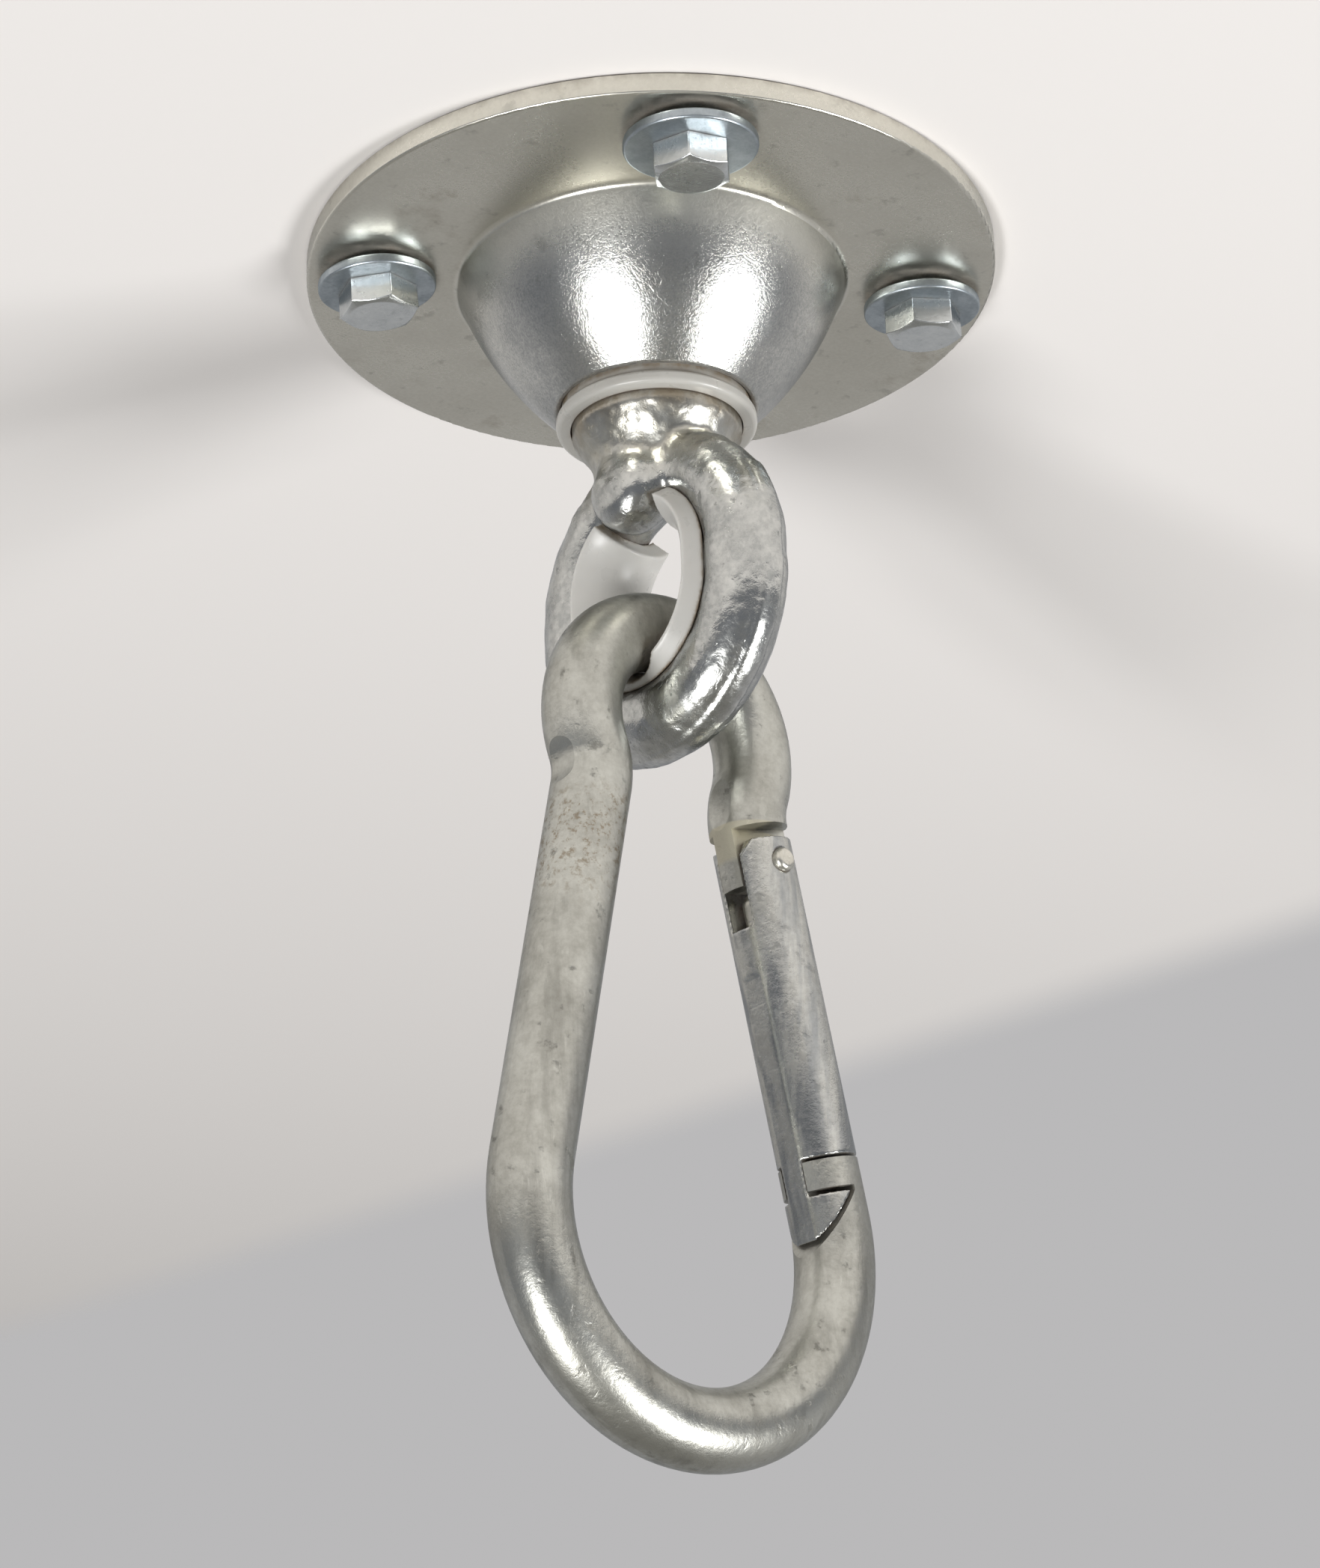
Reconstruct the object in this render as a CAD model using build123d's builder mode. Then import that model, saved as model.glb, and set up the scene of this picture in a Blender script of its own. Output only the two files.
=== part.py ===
"""Ceiling swivel with a spring snap hook: a screwed round flange, a forged eye that turns in it, and the hook."""

import os
from math import acos, asin, atan2, cos, degrees, radians, sin, sqrt

from build123d import *

# Ceiling flange: one pressing, a flat rim and a dome. Z = 0 is the face against the ceiling.
plate_d = 100.0
plate_t = 3.0
dome_r = 24.0
dome_drop = 1.5
dome_arc_r = 51.8
dome_lean = 42.4
dome_bend_r = 1.0
mouth_edge_r = 0.7
rim_edge_r = 0.4

# Screws and washers
screw_names = ["front", "right", "back", "left"]
screw_rim_distance = 10.0
screw_circle_r = plate_d / 2 - screw_rim_distance
screw_angle = -123.3
screw_hole_d = 7.0
screw_d = 6.0
screw_neck_d = 5.4
screw_length = 40.0
screw_point = 6.0
head_flats = 10.0
head_h = 4.2
head_bevel = 1.1
front_washer_d = 18.6
washer_d = 17.0
washer_t = 1.6
washer_bore_d = 6.5

# Swivel bearing inside the dome
cup_wall = 2.0
cup_fit = 0.1
sleeve_wall = 1.2
lip_reach = 0.8
lip_h = 2.0
lip_round = 0.7
cup_top_drop = 3.0
neck_r = 12.2
neck_play = 0.2
head_play = 0.15
head_top_drop = 3.0
cover_t = 1.5
cover_inset = 1.0
cover_fit = 0.1
pad_r = 15.0
pad_play = 0.1

# Swivelling eye, an oval ring in the YZ plane
eye_r = 17.2
eye_wire_r = 5.7
eye_straight = 3.0
eye_top_drop = 34.7
web_start = 28.0
web_end = 37.0
web_reach = 6.6
web_half_t = 6.2
boss_r = 6.2
boss_front = 9.7
boss_back = 0.5
boss_drop = 38.2
boss_edge_r = 3.5

# Liner clipped inside the eye
liner_t = 3.1
liner_fit = 0.1
liner_wrap_angle = 53.5
liner_gap_angle = 31.0
liner_seat_t = 1.2

# Snap hook, bent round wire in the XZ plane
wire_r = 5.5
hang_gap = 0.2
small_bend_r = 15.6
big_bend_r = 26.5
bend_distance = 70.2
waist_half = 13.6
waist_drop = 7.5
waist_bend_r = 10.0
press_depth = 0.5

# Gate on the hook's right leg. Stations run down the leg from the waist, and reaches run outward across it.
shoulder_at = 3.3
gate_top_at = 5.3
rivet_at = 8.8
tongue_end_at = 11.6
slot_end_at = 17.3
facet_start_at = 24.0
gate_end_at = 50.3
nose_gap = 0.45
tongue_t = 3.8
slot_play = 0.2
gate_corner_cut = 1.8
gate_corner_drop = 2.7
facet_depth = 0.25

# T-shaped latch at the gate's free end, and the pocket for it in the nose
latch_top_at = 55.4
latch_tip_at = 61.7
latch_reach = -0.2
latch_play = 0.7
blade_t = 3.8

# Rivet, plunger and spring
rivet_r = 1.3
rivet_fit = 0.08
rivet_head_r = 1.7
rivet_head_h = 0.9
rivet_head_round = 0.8
rivet_seat = 0.4
bore_r = 2.2
bore_end_at = 38.0
bore_offset = 1.2
plunger_fit = 0.15
plunger_tip_gap = 0.3
plunger_tip_round = 1.9
plunger_end_at = 20.0
spring_wire_r = 0.35
spring_fit = 0.15
spring_end_gap = 0.1
spring_turns = 9

# The dome's side is a long arc. Where it leans, it comes nearest to the bearing centre, and a bend leads it into the rim.
rim_z = -plate_t
bearing_z = rim_z - dome_drop
arc_x = (dome_r - dome_arc_r) * cos(radians(dome_lean))
arc_z = bearing_z + (dome_arc_r - dome_r) * sin(radians(dome_lean))
bend_z = rim_z - dome_bend_r
bend_x = arc_x + sqrt((dome_arc_r + dome_bend_r) ** 2 - (bend_z - arc_z) ** 2)
bend_angle = degrees(atan2(bend_z - arc_z, bend_x - arc_x))
dome_inner_r = dome_r - plate_t
cup_outer_r = dome_inner_r - cup_fit
cup_inner_r = cup_outer_r - cup_wall
ball_r = cup_inner_r - head_play
sleeve_inner_r = neck_r + neck_play
sleeve_r = sleeve_inner_r + sleeve_wall
mouth_r = sleeve_r + cup_fit
mouth_z = arc_z - sqrt(dome_arc_r**2 - (mouth_r - arc_x) ** 2)
mouth_inner_z = arc_z - sqrt((dome_arc_r - plate_t) ** 2 - (mouth_r - arc_x) ** 2)
lip_top_z = mouth_z - cup_fit
lip_z = lip_top_z - lip_h
ball_top_z = bearing_z - head_top_drop
cup_top_z = bearing_z - cup_top_drop
cover_top_z = -cover_inset
cover_z = cover_top_z - cover_t


def drop_on_ball(ball_radius, radius):
    """Height of the lower half of a ball round the bearing centre, at a distance from the swivel axis."""
    return bearing_z - sqrt(ball_radius**2 - radius**2)


def funnel_r(height):
    """Radius of the opening behind the flange at a height inside the bend."""
    return bend_x - sqrt((dome_bend_r + plate_t) ** 2 - (height - bend_z) ** 2)


# Flange: arcs on both faces of the sheet share their centres, so the wall stays even.
outer_mouth_angle = -degrees(acos((mouth_r - arc_x) / dome_arc_r))
inner_mouth_angle = -degrees(acos((mouth_r - arc_x) / (dome_arc_r - plate_t)))
with BuildPart() as ceiling_flange:
    with BuildSketch(Plane.XZ):
        with BuildLine():
            CenterArc((arc_x, arc_z), dome_arc_r, outer_mouth_angle, bend_angle - outer_mouth_angle)
            CenterArc((bend_x, bend_z), dome_bend_r, 180 + bend_angle, -90 - bend_angle)
            Polyline((bend_x, rim_z), (plate_d / 2, rim_z), (plate_d / 2, 0), (bend_x, 0))
            CenterArc((bend_x, bend_z), dome_bend_r + plate_t, 90, 90 + bend_angle)
            CenterArc((arc_x, arc_z), dome_arc_r - plate_t, bend_angle, inner_mouth_angle - bend_angle)
            Line((mouth_r, mouth_inner_z), (mouth_r, mouth_z))
        make_face()
    revolve(axis=Axis.Z)
    mouth_edge = ceiling_flange.edges().filter_by(GeomType.CIRCLE).sort_by(Axis.Z)[0]
    fillet(mouth_edge, mouth_edge_r)
    lower_edges = ceiling_flange.edges().filter_by(GeomType.CIRCLE).filter_by_position(Axis.Z, rim_z, rim_z)
    rim_edge = lower_edges.sort_by(SortBy.RADIUS)[-1]
    fillet(rim_edge, rim_edge_r)
    with BuildSketch(Plane.XY):
        with PolarLocations(screw_circle_r, len(screw_names), start_angle=screw_angle):
            Circle(screw_hole_d / 2)
    extrude(amount=-plate_t, mode=Mode.SUBTRACT)
ceiling_flange.part.label = "ceiling_flange"

# Nylon bearing cup: a bowl under the ball head, a sleeve through the mouth and a lip outside it
cup_rim_r = sqrt(cup_outer_r**2 - cup_top_drop**2)
cup_rim_inner_r = sqrt(cup_inner_r**2 - cup_top_drop**2)
with BuildPart() as bearing_cup:
    with BuildSketch(Plane.XZ):
        with BuildLine():
            CenterArc(
                (0, bearing_z),
                cup_outer_r,
                -degrees(acos(sleeve_r / cup_outer_r)),
                degrees(acos(sleeve_r / cup_outer_r)) - degrees(asin(cup_top_drop / cup_outer_r)),
            )
            Line((cup_rim_r, cup_top_z), (cup_rim_inner_r, cup_top_z))
            CenterArc(
                (0, bearing_z),
                cup_inner_r,
                -degrees(asin(cup_top_drop / cup_inner_r)),
                degrees(asin(cup_top_drop / cup_inner_r)) - degrees(acos(sleeve_inner_r / cup_inner_r)),
            )
            Polyline(
                (sleeve_inner_r, drop_on_ball(cup_inner_r, sleeve_inner_r)),
                (sleeve_inner_r, lip_z),
                (sleeve_r + lip_reach, lip_z),
                (sleeve_r + lip_reach, lip_top_z),
                (sleeve_r, lip_top_z),
                (sleeve_r, drop_on_ball(cup_outer_r, sleeve_r)),
            )
        make_face()
    revolve(axis=Axis.Z)
    lip_edges = bearing_cup.edges().filter_by(GeomType.CIRCLE).filter_by_position(Axis.Z, lip_z, lip_top_z)
    outer_lip_edges = lip_edges.sort_by(SortBy.RADIUS)[-2:]
    fillet(outer_lip_edges, lip_round)
bearing_cup.part.label = "bearing_cup"

# Back cover in the funnel behind the flange, and the pad that keeps the ball head down in the cup
with BuildPart() as back_cover:
    with BuildSketch(Plane.XY.offset(cover_z)):
        Circle(funnel_r(cover_z) - cover_fit)
    extrude(amount=cover_t)
back_cover.part.label = "back_cover"

with BuildPart() as top_pad:
    with BuildSketch(Plane.XY.offset(ball_top_z + pad_play)):
        Circle(pad_r)
    extrude(amount=cover_z - pad_play - ball_top_z - pad_play)
top_pad.part.label = "top_pad"

# Screws with bevelled hexagon heads, and their washers
head_top_z = rim_z - washer_t
head_bottom_z = head_top_z - head_h
screw_tip_z = head_top_z + screw_length
screw_core_z = screw_tip_z - screw_point
head_corner_r = head_flats / sqrt(3)
screws = []
washers = []
for index, name in enumerate(screw_names):
    angle = screw_angle + 360 / len(screw_names) * index
    x = screw_circle_r * cos(radians(angle))
    y = screw_circle_r * sin(radians(angle))
    outer_d = front_washer_d if name == "front" else washer_d
    with BuildPart() as washer:
        with BuildSketch(Plane((x, y, rim_z - washer_t))):
            Circle(outer_d / 2)
            Circle(washer_bore_d / 2, mode=Mode.SUBTRACT)
        extrude(amount=washer_t)
    washer.part.label = f"washer_{name}"
    washers.append(washer.part)
    with BuildPart() as screw:
        with BuildSketch(Plane((x, y, head_bottom_z))):
            RegularPolygon(head_corner_r, 6, rotation=angle)
        extrude(amount=head_h)
        with BuildSketch(Plane((x, y, 0), x_dir=(1, 0, 0), z_dir=(0, -1, 0))):
            with BuildLine():
                Polyline(
                    (0, head_bottom_z),
                    (head_flats / 2 - head_bevel / 2, head_bottom_z),
                    (head_corner_r + head_bevel, head_bottom_z + head_bevel),
                    (head_corner_r + head_bevel, head_top_z),
                    (0, head_top_z),
                    close=True,
                )
            make_face()
        revolve(axis=Axis((x, y, 0), (0, 0, 1)), mode=Mode.INTERSECT)
        with BuildSketch(Plane((x, y, 0), x_dir=(1, 0, 0), z_dir=(0, -1, 0))):
            with BuildLine():
                Polyline(
                    (0, head_top_z),
                    (screw_neck_d / 2, head_top_z),
                    (screw_neck_d / 2, 0),
                    (screw_d / 2, 0),
                    (screw_d / 2, screw_core_z),
                    (0, screw_tip_z),
                    close=True,
                )
            make_face()
        revolve(axis=Axis((x, y, 0), (0, 0, 1)))
    screw.part.label = f"screw_{name}"
    screws.append(screw.part)

# Swivelling eye: ball head, neck, oval ring, a web that spreads into the ring and a boss on one side of its top
eye_top_z = -eye_top_drop
upper_z = eye_top_z - eye_r
lower_z = upper_z - eye_straight
eye_bottom_z = lower_z - eye_r
upper_axis = Axis((0, 0, upper_z), (1, 0, 0))
lower_axis = Axis((0, 0, lower_z), (-1, 0, 0))
past_ball = 3 * ball_r
with BuildPart() as swivel_eye:
    with BuildSketch(Plane.XZ):
        with Locations((0, bearing_z)):
            Circle(ball_r)
        with Locations((0, ball_top_z)):
            Rectangle(past_ball, past_ball, align=(Align.CENTER, Align.MIN), mode=Mode.SUBTRACT)
        with Locations((0, -web_start)):
            Rectangle(2 * neck_r, ball_top_z + web_start, align=(Align.CENTER, Align.MIN))
        Rectangle(past_ball, 2 * past_ball, align=(Align.MAX, Align.CENTER), mode=Mode.SUBTRACT)
    revolve(axis=Axis.Z)
    with BuildSketch(Plane.XY.offset(-web_start)):
        Circle(neck_r)
    with BuildSketch(Plane.XY.offset(-web_end)):
        Ellipse(web_half_t, web_reach)
    loft()
    with BuildSketch(Plane.XY.offset(lower_z)):
        with Locations((0, eye_r), (0, -eye_r)):
            Circle(eye_wire_r)
    extrude(amount=eye_straight)
    with BuildSketch(Plane.XY.offset(upper_z)):
        with Locations((0, eye_r)):
            Circle(eye_wire_r)
    revolve(axis=upper_axis, revolution_arc=180)
    with BuildSketch(Plane.XY.offset(lower_z)):
        with Locations((0, eye_r)):
            Circle(eye_wire_r)
    revolve(axis=lower_axis, revolution_arc=180)
    with BuildSketch(Plane.XZ):
        with Locations((-(boss_front + boss_back) / 2, -boss_drop)):
            RectangleRounded(boss_front - boss_back, 2 * boss_r, boss_edge_r)
            Rectangle(boss_front - boss_back, boss_r, align=(Align.CENTER, Align.MAX), mode=Mode.SUBTRACT)
    revolve(axis=Axis((0, 0, -boss_drop), (1, 0, 0)))
swivel_eye.part.label = "swivel_eye"

# Nylon liner: a thick channel on the inner side of the ring's section, open at the boss
liner_inner_r = eye_wire_r + liner_fit
liner_outer_r = liner_inner_r + liner_t
loop_top_z = eye_bottom_z + liner_inner_r + liner_seat_t + hang_gap + wire_r


def channel_section(side, height):
    """The channel's section on one side of the ring, with its open back outward."""
    wedge_x = 3 * liner_outer_r * sin(radians(liner_wrap_angle))
    wedge_y = -side * 3 * liner_outer_r * cos(radians(liner_wrap_angle))
    with BuildSketch(Plane.XY.offset(height)) as section:
        with Locations((0, side * eye_r)):
            Circle(liner_outer_r)
            Circle(liner_inner_r, mode=Mode.SUBTRACT)
            Polygon((0, 0), (wedge_x, wedge_y), (-wedge_x, wedge_y), align=None, mode=Mode.INTERSECT)
    return section.sketch


with BuildPart() as eye_liner:
    for side in (1, -1):
        extrude(channel_section(side, lower_z), amount=eye_straight)
        upper_turn = Axis((0, 0, upper_z), (side, 0, 0))
        revolve(channel_section(side, upper_z), upper_turn, revolution_arc=90 - liner_gap_angle)
    revolve(channel_section(1, lower_z), lower_axis, revolution_arc=180)
    # A seat worn round the swing axis by the hook's wire
    with BuildSketch(Plane.YZ):
        with Locations((0, loop_top_z)):
            Circle(wire_r + hang_gap)
    revolve(axis=Axis((0, 0, eye_bottom_z), (0, 1, 0)), mode=Mode.SUBTRACT)
eye_liner.part.label = "eye_liner"

# Snap hook outline: two bends joined by straight legs, with a reversed bend at each waist
small_z = loop_top_z - small_bend_r
big_z = small_z - bend_distance
waist_z = small_z - waist_drop
leg_span = sqrt(waist_half**2 + (waist_z - big_z) ** 2)
leg_angle = degrees(asin(big_bend_r / leg_span) - atan2(waist_half, waist_z - big_z))
leg_length = sqrt(leg_span**2 - big_bend_r**2)
leg_down = Vector(sin(radians(leg_angle)), 0, -cos(radians(leg_angle)))
leg_out = Vector(cos(radians(leg_angle)), 0, sin(radians(leg_angle)))
waist = Vector(waist_half, 0, waist_z)

# The reversed bend touches the small bend's circle and the leg's line from outside.
to_bend = waist + leg_out * waist_bend_r - Vector(0, 0, small_z)
along = to_bend.dot(leg_down)
touch_at = sqrt((small_bend_r + waist_bend_r) ** 2 - to_bend.dot(to_bend) + along**2) - along
bend_centre = waist + leg_out * waist_bend_r + leg_down * touch_at
bend_side = degrees(atan2(bend_centre.Z - small_z, bend_centre.X))
waist_turn = leg_angle - bend_side
touch = waist + leg_down * touch_at
small_out = Vector(-cos(radians(bend_side)), 0, sin(radians(bend_side)))
small_start = Vector(0, 0, small_z) + small_out * small_bend_r


def flipped(point):
    """The same point or direction on the left side."""
    return Vector(-point.X, point.Y, point.Z)


def wire_section(point, out):
    """The wire's round section at a point of its centre line, across the way it runs there."""
    with BuildSketch(Plane(origin=point, x_dir=out, z_dir=Vector(0, 1, 0).cross(out))) as section:
        Circle(wire_r)
    return section.sketch


def leg_cross(station):
    """The plane across the right leg at a station, facing down the leg."""
    return Plane(origin=waist + leg_down * station, x_dir=leg_out, z_dir=leg_down)


# On the leg's side plane X is the reach and minus Y the station.
leg_side = Plane(origin=waist, x_dir=leg_out, z_dir=(0, -1, 0))
nose_at = gate_end_at + nose_gap
slot_w = tongue_t + 2 * slot_play
facet_reach = facet_depth - wire_r
latch_slope = (latch_tip_at - latch_top_at) / (latch_reach + wire_r)
pocket_top_at = latch_top_at - latch_play
pocket_reach = latch_reach + latch_play
pocket_inner_at = latch_top_at + latch_slope * (pocket_reach + 2 * wire_r)
inner_reach = -2 * wire_r
cut_half = 2 * wire_r
press_r = waist_bend_r - wire_r + press_depth
press_flat = waist_bend_r + wire_r - press_depth
press_side = (bend_side + leg_angle) / 2
with BuildPart() as snap_hook:
    # The nose and the big bend, with the pocket right across the nose and the blade's slot in its middle
    extrude(wire_section(waist + leg_down * nose_at, leg_out), amount=leg_length - nose_at)
    bend_end = waist + leg_down * leg_length
    revolve(wire_section(bend_end, leg_out), Axis((0, 0, big_z), (0, 1, 0)), 180 + 2 * leg_angle)
    with BuildSketch(leg_side):
        Polygon(
            (inner_reach, -pocket_top_at),
            (pocket_reach, -pocket_top_at),
            (pocket_reach, -latch_top_at),
            (inner_reach, -pocket_inner_at),
            align=None,
        )
    extrude(amount=cut_half, both=True, mode=Mode.SUBTRACT)
    with BuildSketch(leg_side):
        with Locations((pocket_reach, -gate_end_at)):
            Rectangle(2 * wire_r, pocket_top_at - gate_end_at, align=(Align.MAX, Align.MAX))
    extrude(amount=blade_t / 2 + slot_play, both=True, mode=Mode.SUBTRACT)
    # The left leg, the waists and the small bend, down to the tongue
    extrude(wire_section(flipped(bend_end), flipped(leg_out)), amount=leg_length - touch_at)
    revolve(wire_section(flipped(touch), flipped(leg_out)), Axis(flipped(bend_centre), (0, -1, 0)), waist_turn)
    revolve(wire_section(small_start, small_out), Axis((0, 0, small_z), (0, 1, 0)), 180 - 2 * bend_side)
    revolve(wire_section(touch, leg_out), Axis(bend_centre, (0, 1, 0)), waist_turn)
    extrude(wire_section(touch, leg_out), amount=tongue_end_at - touch_at)
    # Flats milled on both sides leave the tongue.
    for face in (1, -1):
        with BuildSketch(leg_side.offset(face * tongue_t / 2)):
            with Locations((0, -shoulder_at)):
                Rectangle(4 * wire_r, slot_end_at - shoulder_at, align=(Align.CENTER, Align.MAX))
        extrude(amount=face * wire_r, mode=Mode.SUBTRACT)
    with BuildSketch(leg_side):
        with Locations((0, -rivet_at)):
            Circle(rivet_r + rivet_fit)
    extrude(amount=cut_half, both=True, mode=Mode.SUBTRACT)
    # The bending tools leave a hollow outside each waist and a flat inside it.
    for side in (1, -1):
        with BuildSketch(Plane.XZ):
            with Locations((side * bend_centre.X, bend_centre.Z)):
                with Locations(Location((0, 0), side * press_side)):
                    inward = (Align.MAX if side > 0 else Align.MIN, Align.CENTER)
                    Rectangle(press_flat + wire_r, 2 * wire_r, align=inward)
                    Rectangle(press_flat, 2 * wire_r, align=inward, mode=Mode.SUBTRACT)
                Circle(press_r)
        extrude(amount=cut_half, both=True, mode=Mode.SUBTRACT)
snap_hook.part.label = "snap_hook"

# Gate: a round bar with a slot over the tongue, a flat along its inner side and the latch on a blade
with BuildPart() as gate:
    with BuildSketch(leg_cross(gate_top_at)):
        Circle(wire_r)
    extrude(amount=latch_tip_at - gate_top_at)
    with BuildSketch(leg_side):
        with Locations((0, -gate_top_at)):
            Rectangle(4 * wire_r, slot_end_at - gate_top_at, align=(Align.CENTER, Align.MAX))
    extrude(amount=slot_w / 2, both=True, mode=Mode.SUBTRACT)
    with BuildSketch(leg_side):
        Polygon(
            (-wire_r, -gate_top_at),
            (gate_corner_cut - wire_r, -gate_top_at),
            (-wire_r, -gate_top_at - gate_corner_drop),
            align=None,
        )
        with Locations((facet_reach, -facet_start_at)):
            Rectangle(wire_r, latch_tip_at, align=(Align.MAX, Align.MAX))
        Polygon(
            (2 * wire_r, -gate_end_at),
            (latch_reach, -gate_end_at),
            (latch_reach, -latch_top_at),
            (-wire_r, -latch_tip_at),
            (2 * wire_r, -latch_tip_at),
            align=None,
        )
    extrude(amount=cut_half, both=True, mode=Mode.SUBTRACT)
    for face in (1, -1):
        with BuildSketch(leg_side.offset(face * blade_t / 2)):
            with Locations((0, -gate_end_at)):
                Rectangle(4 * wire_r, latch_top_at - gate_end_at, align=(Align.CENTER, Align.MAX))
        extrude(amount=face * wire_r, mode=Mode.SUBTRACT)
        with BuildSketch(leg_side.offset(face * (wire_r - rivet_seat))):
            with Locations((0, -rivet_at)):
                Circle(rivet_head_r)
        extrude(amount=face * wire_r, mode=Mode.SUBTRACT)
    with BuildSketch(leg_side):
        with Locations((0, -rivet_at)):
            Circle(rivet_r)
    extrude(amount=cut_half, both=True, mode=Mode.SUBTRACT)
    with BuildSketch(leg_cross(slot_end_at)):
        with Locations((-bore_offset, 0)):
            Circle(bore_r)
    extrude(amount=bore_end_at - slot_end_at, mode=Mode.SUBTRACT)
gate.part.label = "gate"

# Rivet with a low domed head on each side
head_seat_y = wire_r - rivet_seat
head_top_y = wire_r + rivet_head_h
with BuildPart() as gate_rivet:
    with BuildSketch(leg_side):
        with Locations((0, -rivet_at)):
            Circle(rivet_r)
    extrude(amount=head_seat_y, both=True)
    for face in (1, -1):
        with BuildSketch(leg_side.offset(face * head_seat_y)):
            with Locations((0, -rivet_at)):
                Circle(rivet_head_r)
        extrude(amount=face * (head_top_y - head_seat_y))
    ends = gate_rivet.edges().filter_by(GeomType.CIRCLE).sort_by(Axis.Y)
    fillet([ends[0], ends[-1]], rivet_head_round)
gate_rivet.part.label = "gate_rivet"

# Plunger with a round tip on the tongue's end, and the spring behind it in the gate's bore
plunger_r = bore_r - plunger_fit
plunger_tip_at = tongue_end_at + plunger_tip_gap
with BuildPart() as gate_plunger:
    with BuildSketch(leg_cross(plunger_tip_at)):
        with Locations((-bore_offset, 0)):
            Circle(plunger_r)
    extrude(amount=plunger_end_at - plunger_tip_at)
    tip = gate_plunger.edges().filter_by(GeomType.CIRCLE).sort_by(Axis.Z)[-1]
    fillet(tip, plunger_tip_round)
gate_plunger.part.label = "gate_plunger"

coil_r = bore_r - spring_fit - spring_wire_r
spring_start_at = plunger_end_at + spring_end_gap + spring_wire_r
spring_length = bore_end_at - spring_end_gap - spring_wire_r - spring_start_at
spring_centre = waist + leg_down * spring_start_at - leg_out * bore_offset
with BuildPart() as gate_spring:
    with BuildLine() as coil:
        Helix(spring_length / spring_turns, spring_length, coil_r, center=spring_centre, direction=leg_down)
    with BuildSketch(Plane(origin=coil.line @ 0, z_dir=coil.line % 0)):
        Circle(spring_wire_r)
    sweep(is_frenet=True)
gate_spring.part.label = "gate_spring"

os.makedirs("parts", exist_ok=True)
finished = [ceiling_flange.part, bearing_cup.part, back_cover.part, top_pad.part, swivel_eye.part, eye_liner.part]
finished += [snap_hook.part, gate.part, gate_rivet.part, gate_plunger.part, gate_spring.part]
for piece in finished + screws + washers:
    export_step(piece, f"parts/{piece.label}.step")
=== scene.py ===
"""Dresses a ceiling swivel and snap hook: forged eye, nylon parts, threaded screws, finishes and stage."""

from math import pi, radians, sqrt

import bmesh
import bpy
from mathutils import Matrix, Vector


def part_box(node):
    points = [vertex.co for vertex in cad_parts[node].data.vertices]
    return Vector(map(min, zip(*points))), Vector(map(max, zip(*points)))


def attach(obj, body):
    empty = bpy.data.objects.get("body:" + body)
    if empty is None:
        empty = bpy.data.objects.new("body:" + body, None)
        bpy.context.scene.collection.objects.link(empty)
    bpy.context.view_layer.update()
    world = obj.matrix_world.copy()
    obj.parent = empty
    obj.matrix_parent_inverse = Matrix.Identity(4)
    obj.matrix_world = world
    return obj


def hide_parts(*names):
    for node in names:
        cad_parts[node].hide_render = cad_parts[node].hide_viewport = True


bl_info = {
    "name": "Ceiling Swivel and Snap Hook",
    "version": (1, 0, 0),
    "blender": (4, 5, 0),
    "location": "View3D > Sidebar > Swivel Hook",
    "description": "Models and finishes a screwed ceiling swivel with a spring snap hook",
    "category": "Object",
}

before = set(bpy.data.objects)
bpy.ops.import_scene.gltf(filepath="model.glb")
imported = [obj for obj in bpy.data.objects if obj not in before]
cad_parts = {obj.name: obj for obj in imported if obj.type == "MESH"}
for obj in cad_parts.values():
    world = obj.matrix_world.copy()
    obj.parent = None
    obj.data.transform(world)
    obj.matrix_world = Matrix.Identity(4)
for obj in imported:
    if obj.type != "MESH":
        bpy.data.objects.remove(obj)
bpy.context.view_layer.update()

MM = 0.001
# How far each screw was driven round, and the way its head leans, if it does
SCREWS = {
    "front": (radians(-12), (0.667, 0.745)),
    "right": (radians(3.5), (0.82, 0.57)),
    "back": (radians(9), None),
    "left": (radians(-16), (1.0, 0.05)),
}
# How the zinc reflects at a grazing angle
EDGE_TINT = (0.55, 0.57, 0.60, 1.0)

# Each pair is a stretch, in metres, over which one look fades into another. These run up along Z,
# and where there are two pairs, a stain comes in over the first and goes over the second.
DOME_TO_RIM = (-0.0042, -0.0034)
CRYSTALS_TO_RUBBED = (-0.0135, -0.0050)
EYE_TO_NECK = (-0.0400, -0.0330)
NECK_TO_RING = (-0.0310, -0.0268)
LEG_RUST = ((-0.108, -0.098), (-0.091, -0.086))
SHOULDER = ((-0.0915, -0.0905), (-0.0860, -0.0857))
# These two run along X, across the hook.
LEFT_LEG = (-0.006, -0.002)
GATE_SIDE = (0.006, 0.008)


def middle_of(node):
    """The middle of a CAD node's box."""
    low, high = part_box(node)
    return (low + high) / 2


def length_setting(name, about, size):
    return bpy.props.FloatProperty(
        name=name, description=about, default=size, subtype="DISTANCE", unit="LENGTH"
    )


def colour_setting(name, about, colour):
    return bpy.props.FloatVectorProperty(
        name=name, description=about, size=3, subtype="COLOR", min=0.0, max=1.0, default=colour
    )


def power_setting(name, about, power):
    return bpy.props.FloatProperty(
        name=name, description=about, default=power, subtype="POWER", unit="POWER"
    )


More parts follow.
